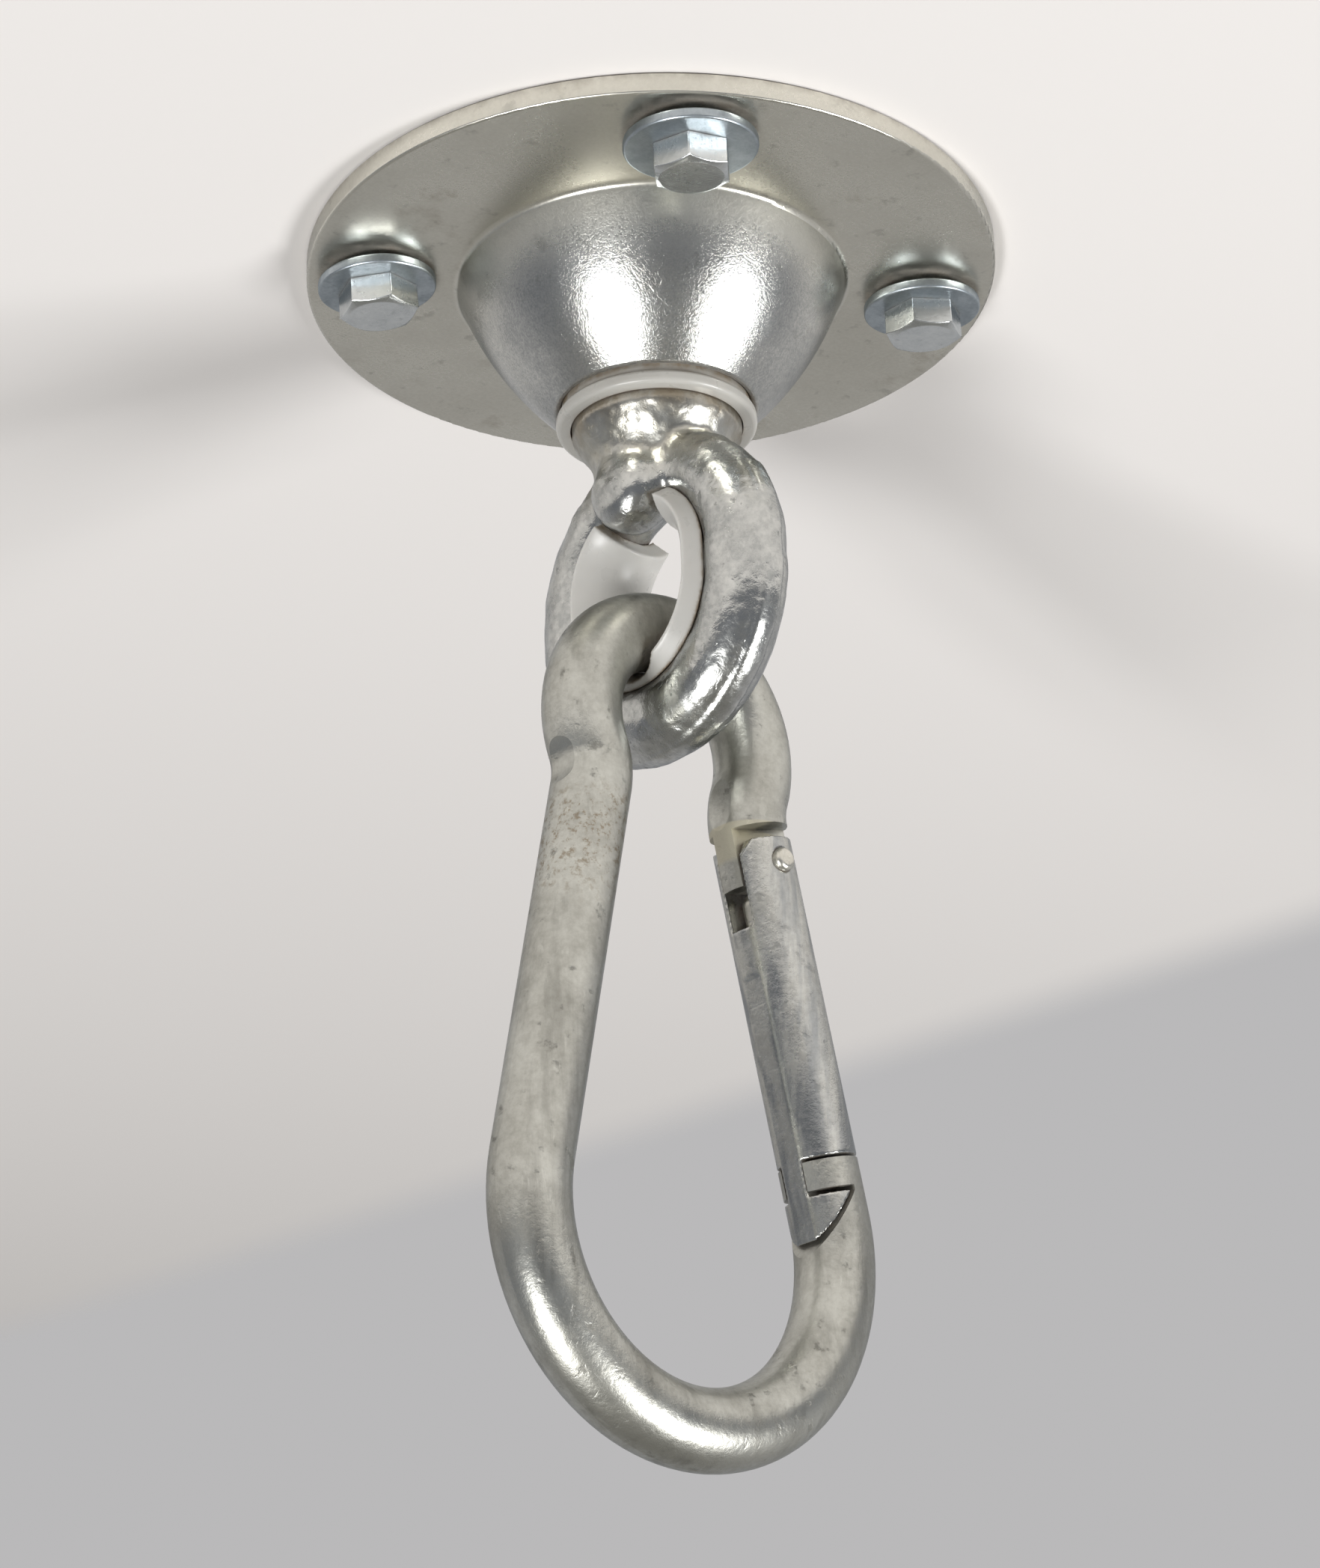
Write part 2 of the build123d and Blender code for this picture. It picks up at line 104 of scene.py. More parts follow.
class HardwareSizes(bpy.types.PropertyGroup):
    """Sizes of the screws, the washers and the small forms on the forging."""

    head_flats: length_setting("Head width", "Width across a screw head's flats", 0.0100)
    head_bevel: length_setting("Head bevel", "Height of the cone that trims the head's corners", 0.0011)
    head_height: length_setting("Head height", "Height of a screw head", 0.0042)
    thread_pitch: length_setting("Thread pitch", "Rise of the screw thread in one turn", 0.0026)
    thread_root: length_setting("Thread root", "Radius at the bottom of the thread", 0.0024)
    thread_turns: bpy.props.IntProperty(
        name="Thread turns", description="Number of whole turns up to the screw's point", default=12
    )
    screw_lean: bpy.props.FloatProperty(
        name="Screw lean", description="How far a crooked screw leans over with its washer",
        default=radians(5), subtype="ANGLE",
    )
    washer_bore: length_setting("Washer bore", "Radius of a washer's hole", 0.00325)
    washer_edge: length_setting("Washer edge", "Rounding of a washer's punched edges", 0.0004)
    flash_width: length_setting("Flash width", "Width of the trimmed flash band round the eye", 0.0032)
    flash_height: length_setting("Flash height", "How far the flash band stands out", 0.00036)


class FinishColours(bpy.types.PropertyGroup):
    """Colours of the zinc, the nylon, with a darker painted-shade copy for the ring, and the dirt, which also
    paints shade into corners.
    """

    plate_light: colour_setting("Plate, light", "Bright zinc on the flange", (0.80, 0.78, 0.70))
    plate_dark: colour_setting("Plate, dark", "Dull zinc on the flange", (0.60, 0.58, 0.51))
    stain: colour_setting("Stain", "Brown stains in the flange's zinc", (0.30, 0.25, 0.18))
    dome_light: colour_setting("Dome, light", "Bright zinc crystals on the dome", (0.80, 0.79, 0.74))
    dome_dark: colour_setting("Dome, dark", "Dark zinc crystals on the dome", (0.42, 0.43, 0.42))
    forged_light: colour_setting("Forging, light", "Bright zinc on the eye", (0.70, 0.70, 0.67))
    forged_dark: colour_setting("Forging, dark", "Dull zinc on the eye", (0.38, 0.39, 0.38))
    neck: colour_setting("Neck", "Dull yellowish skin on the eye's neck", (0.52, 0.49, 0.40))
    hook_light: colour_setting("Hook, light", "Bright zinc on the hook", (0.62, 0.62, 0.57))
    hook_dark: colour_setting("Hook, dark", "Stained zinc on the hook and the gate", (0.36, 0.35, 0.31))
    milled: colour_setting("Milled", "Yellowish bare metal on the hook's shoulder", (0.60, 0.57, 0.46))
    gate_light: colour_setting("Gate, light", "Bright zinc on the gate", (0.70, 0.70, 0.66))
    gate_streaks: colour_setting("Gate streaks", "Dark bluish streaks on the gate", (0.27, 0.29, 0.31))
    bolt_light: colour_setting("Screws, light", "Bright zinc on the screws", (0.78, 0.80, 0.79))
    bolt_dark: colour_setting("Screws, dark", "Dull zinc on the screws", (0.58, 0.61, 0.62))
    washer_light: colour_setting("Washers, light", "Bluish bright zinc on the washers", (0.52, 0.57, 0.60))
    washer_dark: colour_setting("Washers, dark", "Bluish dull zinc on the washers", (0.30, 0.34, 0.37))
    # Painted shade: the liner's nylon, darker, so that the ring reads as shaded.
    ring: colour_setting("Ring", "Milky white of the bearing ring", (0.45, 0.44, 0.41))
    nylon: colour_setting("Nylon", "Milky white of the liner", (0.58, 0.57, 0.54))
    rust: colour_setting("Rust", "Brown stains on the nylon, the eye and the hook", (0.24, 0.18, 0.11))
    # Painted shade as well as dirt: this colour goes where ambient occlusion closes in.
    dirt_and_shade: colour_setting("Dirt", "Brown dirt that gathers in corners", (0.10, 0.062, 0.032))


class StudioSettings(bpy.types.PropertyGroup):
    """Camera, lamps and the pale ceiling that the swivel hangs from."""

    camera_place: bpy.props.FloatVectorProperty(
        name="Camera place", description="Where the camera stands", size=3,
        subtype="TRANSLATION", unit="LENGTH", default=(-0.31503, -0.34987, -0.28637),
    )
    camera_turn: bpy.props.FloatVectorProperty(
        name="Camera turn", description="How the camera is turned", size=3,
        subtype="EULER", default=(radians(113.50), radians(1.918), radians(-40.996)),
    )
    camera_lens: bpy.props.FloatProperty(
        name="Lens", description="Focal length on a 36 mm sensor, in millimetres", default=102.04
    )
    right_power: power_setting("Right lamp", "Power of the large soft lamp on the right", 14.2)
    left_power: power_setting("Left lamp", "Power of the soft lamp on the left", 12.6)
    room_light: bpy.props.FloatProperty(
        name="Room light", description="Strength of the room's own light", default=1.0
    )
    ceiling_colour: colour_setting("Ceiling", "Colour of the pale ceiling", (0.72, 0.695, 0.675))
    near_colour: colour_setting("Room", "Colour of the dim room behind the camera", (0.17, 0.18, 0.20))
    floor_colour: colour_setting("Floor", "Colour of the dim floor far below", (0.20, 0.195, 0.18))
    backdrop_colour: colour_setting("Backdrop", "Colour of the plain backdrop", (0.49, 0.485, 0.49))


# Mesh tools


def deselect_all():
    if bpy.context.object and bpy.context.object.mode != "OBJECT":
        bpy.ops.object.mode_set(mode="OBJECT")
    bpy.ops.object.select_all(action="DESELECT")


def take(piece):
    """Makes a piece the only selected and active object."""
    deselect_all()
    piece.select_set(True)
    bpy.context.view_layer.objects.active = piece


def added(name):
    """Names the object that an operator has just added."""
    piece = bpy.context.object
    piece.name = name
    piece.data.name = name
    return piece


def place_applied(piece):
    take(piece)
    bpy.ops.object.transform_apply(location=True, rotation=True, scale=True)


def with_modifier(piece, kind, **settings):
    """Adds one modifier with its settings and applies it."""
    take(piece)
    modifier = piece.modifiers.new(kind.title(), kind)
    for key, value in settings.items():
        setattr(modifier, key, value)
    bpy.ops.object.modifier_apply(modifier=modifier.name)


def cut_with(piece, tool, operation="DIFFERENCE"):
    with_modifier(piece, "BOOLEAN", object=tool, operation=operation, solver="EXACT")
    bpy.data.objects.remove(tool)


def smooth_by_angle(piece, angle):
    take(piece)
    bpy.ops.object.shade_smooth_by_angle(angle=radians(angle))


def merged_copy(node, name):
    """A copy of a CAD node's mesh, with its loose triangles joined."""
    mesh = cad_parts[node].data.copy()
    mesh.materials.clear()
    piece = bpy.data.objects.new(name, mesh)
    mesh.name = name
    bpy.context.scene.collection.objects.link(piece)
    take(piece)
    bpy.ops.mesh.customdata_custom_splitnormals_clear()
    bpy.ops.object.mode_set(mode="EDIT")
    bpy.ops.mesh.select_all(action="SELECT")
    bpy.ops.mesh.remove_doubles(threshold=1e-6)
    bpy.ops.mesh.normals_make_consistent(inside=False)
    bpy.ops.object.mode_set(mode="OBJECT")
    return piece


def weighted(piece, name, weight):
    """Gives a piece a vertex group whose weight comes from each vertex's place."""
    group = piece.vertex_groups.new(name=name)
    for vertex in piece.data.vertices:
        value = weight(vertex.co)
        if value > 0:
            group.add([vertex.index], value, "REPLACE")


def ramp(value, low, high):
    """0 below low, 1 above high, smooth between them."""
    t = min(max((value - low) / (high - low), 0.0), 1.0)
    return t * t * (3 - 2 * t)


def cylinder(name, radius, low_z, high_z, sides, turn=0.0):
    """A cylinder on the swivel's axis."""
    deselect_all()
    bpy.ops.mesh.primitive_cylinder_add(
        vertices=sides, radius=radius, depth=high_z - low_z,
        location=(0, 0, (low_z + high_z) / 2), rotation=(0, 0, turn),
    )
    piece = added(name)
    place_applied(piece)
    return piece


def bevelled(piece, width, segments, angle):
    """Rounds a piece's edges that turn by more than an angle in degrees."""
    with_modifier(
        piece, "BEVEL", width=width, segments=segments, limit_method="ANGLE", angle_limit=radians(angle)
    )


def shaded_flat_faced(piece, angle):
    """Smooth shading in which bevels don't bend the light on the flat faces beside them."""
    smooth_by_angle(piece, angle)
    with_modifier(piece, "WEIGHTED_NORMAL", keep_sharp=True, weight=100)


def remeshed_copy(node, name, voxel):
    """A CAD node's shape in an even fine mesh that can be smoothed."""
    piece = merged_copy(node, name)
    with_modifier(piece, "REMESH", mode="VOXEL", voxel_size=voxel)
    return piece


def softened(piece, name, iterations, weight):
    """Smooths a piece where the weight says."""
    weighted(piece, name, weight)
    with_modifier(piece, "SMOOTH", factor=0.5, iterations=iterations, vertex_group=name)


def dented(piece, name, grain, depth, mid_level, weight):
    """Presses soft noise into a piece where the weight says."""
    texture = bpy.data.textures.new(name, "CLOUDS")
    texture.noise_scale = grain
    texture.noise_depth = 2
    weighted(piece, name, weight)
    with_modifier(
        piece, "DISPLACE", strength=depth, mid_level=mid_level, texture=texture, vertex_group=name
    )


def finish_piece(piece, body, material, nodes):
    """Gives a finished piece its material and its body, and hides the CAD nodes that it stands for."""
    piece.data.materials.clear()
    piece.data.materials.append(material)
    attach(piece, body)
    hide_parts(*nodes)


def dress(node, material):
    """Gives a CAD node that keeps its shape a better material."""
    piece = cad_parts[node]
    piece.data.materials.clear()
    piece.data.materials.append(material)


# Shader tools


def add(tree, kind, inputs=None, **settings):
    """One node with its settings, and its inputs as values or as other nodes' outputs."""
    node = tree.nodes.new(kind)
    for key, value in settings.items():
        setattr(node, key, value)
    for key, value in (inputs or {}).items():
        if isinstance(value, bpy.types.NodeSocket):
            tree.links.new(value, node.inputs[key])
        else:
            node.inputs[key].default_value = value
    return node


def math(tree, operation, first, second, clamp=False):
    return add(tree, "ShaderNodeMath", {0: first, 1: second}, operation=operation, use_clamp=clamp).outputs[0]


def times(tree, first, second, clamp=False):
    return math(tree, "MULTIPLY", first, second, clamp)


def times_plus(tree, first, second, third, clamp=False):
    """The first times the second, plus the third."""
    inputs = {0: first, 1: second, 2: third}
    return add(tree, "ShaderNodeMath", inputs, operation="MULTIPLY_ADD", use_clamp=clamp).outputs[0]


def spread(tree, value, low, high, to_low=0.0, to_high=1.0):
    """A value's range from low to high, mapped smoothly to another range."""
    inputs = {"Value": value, "From Min": low, "From Max": high, "To Min": to_low, "To Max": to_high}
    return add(tree, "ShaderNodeMapRange", inputs, interpolation_type="SMOOTHSTEP").outputs["Result"]


def between(tree, value, rise, fall):
    """A mask that comes up over the stretch rise and goes down over the stretch fall."""
    return times(tree, spread(tree, value, *rise), spread(tree, value, *fall, 1.0, 0.0))


def mixed(tree, factor, first, second):
    node = add(tree, "ShaderNodeMix", data_type="RGBA")
    for socket, value in ((node.inputs[0], factor), (node.inputs[6], first), (node.inputs[7], second)):
        if isinstance(value, bpy.types.NodeSocket):
            tree.links.new(value, socket)
        else:
            socket.default_value = value
    return node.outputs[2]


def noise(tree, place, scale, detail=4.0, roughness=0.55):
    inputs = {"Vector": place, "Scale": scale, "Detail": detail, "Roughness": roughness}
    return add(tree, "ShaderNodeTexNoise", inputs).outputs[0]


def object_place(tree):
    return add(tree, "ShaderNodeTexCoord").outputs["Object"]


def distance_along(tree, place, way):
    """How far a place lies along a direction."""
    inputs = {0: place, 1: way}
    return add(tree, "ShaderNodeVectorMath", inputs, operation="DOT_PRODUCT").outputs["Value"]


def new_group(name, inputs, outputs):
    """A shader node group with float inputs and outputs, and its input and output nodes."""
    group = bpy.data.node_groups.new(name, "ShaderNodeTree")
    for label, default in inputs.items():
        socket = group.interface.new_socket(name=label, in_out="INPUT", socket_type="NodeSocketFloat")
        socket.default_value = default
    for label in outputs:
        group.interface.new_socket(name=label, in_out="OUTPUT", socket_type="NodeSocketFloat")
    return group, group.nodes.new("NodeGroupInput"), group.nodes.new("NodeGroupOutput")


def zinc_bloom_group():
    """Patchy passivated zinc: broad mottling, fine crystal speckle, pits and a height for all three."""
    inputs = {"Mottle Size": 90.0, "Speckle Size": 1400.0, "Pit Size": 500.0, "Pit Amount": 0.4}
    group, given, result = new_group("Zinc Bloom", inputs, ["Mottle", "Speckle", "Pits", "Height"])
    place = object_place(group)
    broad = noise(group, place, given.outputs["Mottle Size"], 5.0, 0.62)
    mottle = spread(group, broad, 0.34, 0.66)
    fine = noise(group, place, given.outputs["Speckle Size"], 3.0, 0.7)
    speckle = spread(group, fine, 0.3, 0.72)
    pit_noise = noise(group, place, given.outputs["Pit Size"], 4.0, 0.6)
    pits = times(group, spread(group, pit_noise, 0.60, 0.72), given.outputs["Pit Amount"])
    raised = times_plus(group, mottle, 0.3, times(group, speckle, 0.35))
    height = math(group, "SUBTRACT", raised, pits)
    for label, value in (("Mottle", mottle), ("Speckle", speckle), ("Pits", pits), ("Height", height)):
        group.links.new(value, result.inputs[label])
    return group


def crystal_group():
    """Coarse zinc crystals in patches of light and dark, and their height."""
    inputs = {"Size": 1500.0, "Patch Size": 70.0}
    group, given, result = new_group("Crystal Speckle", inputs, ["Shade", "Height"])
    place = object_place(group)
    fine = spread(group, noise(group, place, given.outputs["Size"], 3.0, 0.75), 0.36, 0.64)
    coarse_size = times(group, given.outputs["Size"], 0.4)
    coarse = spread(group, noise(group, place, coarse_size, 4.0, 0.65), 0.35, 0.65)
    patches = spread(group, noise(group, place, given.outputs["Patch Size"], 3.0, 0.55), 0.38, 0.62)
    grain = times_plus(group, fine, 0.55, times(group, coarse, 0.3))
    shade = times_plus(group, patches, 0.4, times(group, grain, 0.75), clamp=True)
    group.links.new(shade, result.inputs["Shade"])
    group.links.new(grain, result.inputs["Height"])
    return group


def scratches_group():
    """Thin handling scratches in two directions."""
    group, given, result = new_group("Handling Scratches", {"Size": 55.0, "Amount": 0.5}, ["Mask"])
    place = object_place(group)
    masks = []
    for turn, stretch in (((0.3, 0.2, 0.7), (1.0, 22.0, 6.0)), ((1.1, -0.4, 2.2), (26.0, 1.0, 5.0))):
        turned = add(group, "ShaderNodeMapping", {"Vector": place, "Rotation": turn, "Scale": stretch})
        lines = noise(group, turned.outputs[0], given.outputs["Size"], 2.0, 0.5)
        masks.append(spread(group, lines, 0.66, 0.70))
    both = math(group, "MAXIMUM", masks[0], masks[1])
    broken = spread(group, noise(group, place, 160.0, 2.0), 0.45, 0.6)
    kept = times(group, both, broken)
    group.links.new(times(group, kept, given.outputs["Amount"]), result.inputs["Mask"])
    return group


def grime_and_shade_group():
    """Dirt and painted shade where surfaces meet: the mask follows ambient occlusion, broken up by noise."""
    group, given, result = new_group("Corner Grime and Shade", {"Reach": 0.0015, "Amount": 0.8}, ["Mask"])
    place = object_place(group)
    # Painted shade: ambient occlusion darkens corners, gaps and hollows as if shade fell there.
    shade = add(group, "ShaderNodeAmbientOcclusion", {"Distance": given.outputs["Reach"]}, samples=8)
    closed = spread(group, shade.outputs["AO"], 0.35, 0.85, 1.0, 0.0)
    patchy = spread(group, noise(group, place, 420.0, 4.0, 0.6), 0.35, 0.65, 0.35, 1.0)
    mask = times(group, closed, patchy)
    group.links.new(times(group, mask, given.outputs["Amount"], clamp=True), result.inputs["Mask"])
    return group


groups = {}


def placed_group(tree, name, **values):
    """One of the shared node groups, with its own values."""
    if not groups:
        groups["Zinc Bloom"] = zinc_bloom_group()
        groups["Crystal Speckle"] = crystal_group()
        groups["Handling Scratches"] = scratches_group()
        groups["Corner Grime and Shade"] = grime_and_shade_group()
    node = tree.nodes.new("ShaderNodeGroup")
    node.node_tree = groups[name]
    for key, value in values.items():
        node.inputs[key.replace("_", " ").title()].default_value = value
    return node


def new_material(name):
    """A material with its tree cleared but for the output and a Principled shader."""
    material = bpy.data.materials.new(name)
    material.use_nodes = True
    tree = material.node_tree
    tree.nodes.clear()
    output = tree.nodes.new("ShaderNodeOutputMaterial")
    shader = tree.nodes.new("ShaderNodeBsdfPrincipled")
    tree.links.new(shader.outputs[0], output.inputs["Surface"])
    return material, tree, shader


def opaque(colour):
    return (colour[0], colour[1], colour[2], 1.0)


def scaled(colour, factor, most=1.0):
    """A colour made darker or brighter, but no brighter than most."""
    return opaque([min(part * factor, most) for part in colour])


def join_metal(tree, shader, colour, rough, height, depth, corners, dull=0.0):
    """Joins a metal's colour, roughness and relief to its shader, with dirt and painted shade where the
    corners' mask says.
    """
    dirt_and_shade = opaque(bpy.context.scene.swivel_finish.dirt_and_shade)
    tree.links.new(mixed(tree, corners, colour, dirt_and_shade), shader.inputs["Base Color"])
    dirty = math(tree, "ADD", rough, times(tree, corners, 0.35), clamp=True)
    tree.links.new(math(tree, "ADD", dirty, dull, clamp=True), shader.inputs["Roughness"])
    metallic = math(tree, "SUBTRACT", 1.0, times(tree, corners, 0.9))
    tree.links.new(metallic, shader.inputs["Metallic"])
    relief = add(tree, "ShaderNodeBump", {"Height": height, "Distance": depth, "Strength": 1.0})
    tree.links.new(relief.outputs[0], shader.inputs["Normal"])
    shader.inputs["Specular Tint"].default_value = EDGE_TINT


def zinc_material(
    name, light, dark, rough=(0.26, 0.42), mottle=0.5, speckle=0.35, pits=0.4,
    sizes=(90.0, 1400.0, 500.0), bump=0.00003, grime_and_shade=0.7, scratch=0.4, stains=None,
):
    """Zinc plating with mottling, crystals, pits, scratches, dirt and painted shade in its corners and the
    given stains.

    The three sizes are the noise scales of the mottling, the crystals and the pits. The function stains
    takes the tree and the clean colour, and returns the stained colour and how much duller it is.
    """
    material, tree, shader = new_material(name)
    mottle_size, speckle_size, pit_size = sizes
    bloom = placed_group(
        tree, "Zinc Bloom", mottle_size=mottle_size, speckle_size=speckle_size,
        pit_size=pit_size, pit_amount=pits,
    )
    lines = placed_group(tree, "Handling Scratches", amount=scratch).outputs["Mask"]
    corners = placed_group(tree, "Corner Grime and Shade", amount=grime_and_shade).outputs["Mask"]
    broad = times(tree, bloom.outputs["Mottle"], mottle)
    fine = times(tree, bloom.outputs["Speckle"], speckle)
    shade = math(tree, "ADD", broad, fine, clamp=True)
    metal = mixed(tree, shade, opaque(light), opaque(dark))
    in_pits = times(tree, bloom.outputs["Pits"], 0.8)
    pitted = mixed(tree, in_pits, metal, scaled(dark, 0.35))
    scratched = mixed(tree, times(tree, lines, 0.5), pitted, scaled(light, 1.25, 0.9))
    stained, dull = stains(tree, scratched) if stains else (scratched, 0.0)
    clean_rough = spread(tree, shade, 0.0, 1.0, *rough)
    pitted_rough = math(tree, "ADD", clean_rough, times(tree, bloom.outputs["Pits"], 0.25))
    height = math(tree, "SUBTRACT", bloom.outputs["Height"], times(tree, lines, 0.4))
    join_metal(tree, shader, stained, pitted_rough, height, bump, corners, dull)
    return material


def streaks_along_z(tree, along_z, low, high, amount):
    """A mask of long soft streaks along Z."""
    stretch = {"Vector": object_place(tree), "Scale": (1.0, 1.0, along_z)}
    stretched = add(tree, "ShaderNodeMapping", stretch).outputs[0]
    return spread(tree, noise(tree, stretched, 300.0, 5.0, 0.6), low, high, 0.0, amount)


def hook_stains(tree, colour):
    """Dark streaks along the legs, rust at the left leg's top and a bare milled shoulder over the gate."""
    colours = bpy.context.scene.swivel_finish
    place = object_place(tree)
    split = add(tree, "ShaderNodeSeparateXYZ", {0: place})
    across, height = split.outputs["X"], split.outputs["Z"]
    streaks = streaks_along_z(tree, 0.10, 0.50, 0.72, 0.40)
    streaked = mixed(tree, streaks, colour, scaled(colours.hook_dark, 0.55))
    on_left = spread(tree, across, *LEFT_LEG, 1.0, 0.0)
    at_leg_top = times(tree, between(tree, height, *LEG_RUST), on_left)
    blotches = spread(tree, noise(tree, place, 900.0, 5.0, 0.75), 0.50, 0.64, 0.0, 0.7)
    rusty = mixed(tree, times(tree, at_leg_top, blotches), streaked, opaque(colours.rust))
    on_right = spread(tree, across, *GATE_SIDE)
    on_shoulder = times(tree, between(tree, height, *SHOULDER), on_right)
    return mixed(tree, on_shoulder, rusty, opaque(colours.milled)), times(tree, on_shoulder, 0.15)


def gate_stains(tree, colour):
    """Dark bluish streaks along the gate."""
    dark = opaque(bpy.context.scene.swivel_finish.gate_streaks)
    streaks = streaks_along_z(tree, 0.12, 0.42, 0.66, 0.7)
    return mixed(tree, streaks, colour, dark), times(tree, streaks, -0.06)


def forging_stains(tree, colour):
    """A dull yellowish skin on the eye's neck, dirtier towards the bearing ring."""
    colours = bpy.context.scene.swivel_finish
    place = object_place(tree)
    height = add(tree, "ShaderNodeSeparateXYZ", {0: place}).outputs["Z"]
    on_neck = spread(tree, height, *EYE_TO_NECK)
    patchy = spread(tree, noise(tree, place, 260.0, 5.0, 0.65), 0.35, 0.65, 0.25, 0.65)
    skin = mixed(tree, times(tree, on_neck, patchy), colour, opaque(colours.neck))
    at_ring = times(tree, spread(tree, height, *NECK_TO_RING), patchy)
    return mixed(tree, at_ring, skin, opaque(colours.rust)), times(tree, on_neck, 0.10)


def nylon_material(name, white_colour):
    """Milky nylon with soft clouds, fine scuffs and brown dirt with painted shade in its corners."""
    material, tree, shader = new_material(name)
    colours = bpy.context.scene.swivel_finish
    place = object_place(tree)
    clouds = spread(tree, noise(tree, place, 120.0, 4.0), 0.35, 0.65)
    white = mixed(tree, clouds, opaque(white_colour), scaled(white_colour, 0.94))
    corners = placed_group(tree, "Corner Grime and Shade", reach=0.0020, amount=0.9).outputs["Mask"]
    # Painted shade as well as dirt: the rust colour goes where ambient occlusion closes in.
    tree.links.new(mixed(tree, corners, white, opaque(colours.rust)), shader.inputs["Base Color"])
    scuffs = placed_group(tree, "Handling Scratches", size=90.0, amount=0.6).outputs["Mask"]
    shine = spread(tree, noise(tree, place, 300.0, 3.0), 0.3, 0.7, 0.26, 0.38)
    rough = math(tree, "ADD", shine, times(tree, scuffs, 0.2))
    tree.links.new(rough, shader.inputs["Roughness"])
    inputs = {"Height": scuffs, "Distance": 0.00002, "Strength": 1.0}
    relief = add(tree, "ShaderNodeBump", inputs, invert=True)
    tree.links.new(relief.outputs[0], shader.inputs["Normal"])
    shader.inputs["Subsurface Weight"].default_value = 0.25
    shader.inputs["Subsurface Radius"].default_value = (1.0, 0.9, 0.8)
    shader.inputs["Subsurface Scale"].default_value = 0.002
    return material


def flange_material():
    """Satin zinc with brown stains on the rim, and bright crystals on the dome, rubbed satin near the rim."""
    colours = bpy.context.scene.swivel_finish
    material, tree, shader = new_material("Flange zinc")
    place = object_place(tree)
    height = add(tree, "ShaderNodeSeparateXYZ", {0: place}).outputs["Z"]
    on_dome = spread(tree, height, *DOME_TO_RIM, 1.0, 0.0)
    rubbed = spread(tree, height, *CRYSTALS_TO_RUBBED, 0.0, 0.8)
    satin = placed_group(
        tree, "Zinc Bloom", mottle_size=40.0, speckle_size=1700.0, pit_size=300.0, pit_amount=0.35
    )
    crystal = placed_group(tree, "Crystal Speckle", size=2900.0, patch_size=60.0)
    lines = placed_group(tree, "Handling Scratches", amount=0.5).outputs["Mask"]
    # Dirt and painted shade from ambient occlusion, reaching 3 mm.
    corners = placed_group(tree, "Corner Grime and Shade", reach=0.0030, amount=0.7).outputs["Mask"]

    satin_shade = times_plus(tree, satin.outputs["Mottle"], 0.35, times(tree, satin.outputs["Speckle"], 0.25))
    satin_metal = mixed(tree, satin_shade, opaque(colours.plate_light), opaque(colours.plate_dark))
    stains = spread(tree, noise(tree, place, 60.0, 6.0, 0.72), 0.54, 0.74, 0.0, 0.45)
    stained = mixed(tree, stains, satin_metal, opaque(colours.stain))
    crystal_shade = crystal.outputs["Shade"]
    crystals = mixed(tree, crystal_shade, opaque(colours.dome_light), opaque(colours.dome_dark))
    dome_metal = mixed(tree, rubbed, crystals, satin_metal)
    metal = mixed(tree, on_dome, stained, dome_metal)
    in_pits = times(tree, satin.outputs["Pits"], 0.7)
    pitted = mixed(tree, in_pits, metal, scaled(colours.plate_dark, 0.3))
    scratched = mixed(tree, times(tree, lines, 0.4), pitted, opaque(colours.plate_light))

    satin_rough = spread(tree, satin_shade, 0.0, 0.7, 0.26, 0.36)
    crystal_rough = spread(tree, crystal_shade, 0.0, 1.0, 0.16, 0.26)
    dome_rough = math(tree, "ADD", crystal_rough, times(tree, rubbed, 0.16))
    rough = add(tree, "ShaderNodeMix", {0: on_dome, 2: satin_rough, 3: dome_rough}).outputs[0]
    satin_height = times(tree, satin.outputs["Height"], 0.08)
    crystal_height = times(tree, crystal.outputs["Height"], 0.30)
    relief = add(tree, "ShaderNodeMix", {0: on_dome, 2: satin_height, 3: crystal_height}).outputs[0]
    scored = math(tree, "SUBTRACT", relief, times(tree, lines, 0.3))
    join_metal(tree, shader, scratched, rough, scored, depth=0.00006, corners=corners)
    return material


# Pieces


def model_head(sizes, low_z, head_top):
    """A hexagon head with its lower corners trimmed by a cone."""
    corner_r = sizes.head_flats / sqrt(3)
    head = cylinder("screw_head", corner_r, low_z, head_top, sides=6, turn=radians(-90))
    trim_r = corner_r + sizes.head_bevel
    trim = cylinder("head_trim", trim_r, low_z + sizes.head_bevel, head_top + MM, sides=72)
    bpy.ops.object.mode_set(mode="EDIT")
    bpy.ops.mesh.select_mode(type="FACE")
    bpy.ops.mesh.select_all(action="DESELECT")
    mesh = bmesh.from_edit_mesh(trim.data)
    for face in mesh.faces:
        face.select = face.normal.z < -0.9
    bmesh.update_edit_mesh(trim.data)
    bpy.ops.mesh.extrude_region_move(TRANSFORM_OT_translate={"value": (0, 0, -sizes.head_bevel)})
    end_scale = (sizes.head_flats / 2 - sizes.head_bevel / 2) / trim_r
    bpy.ops.transform.resize(value=(end_scale, end_scale, 1), center_override=(0, 0, low_z))
    bpy.ops.object.mode_set(mode="OBJECT")
    cut_with(head, trim, "INTERSECT")
    bevelled(head, width=0.00014, segments=2, angle=20)
    return head


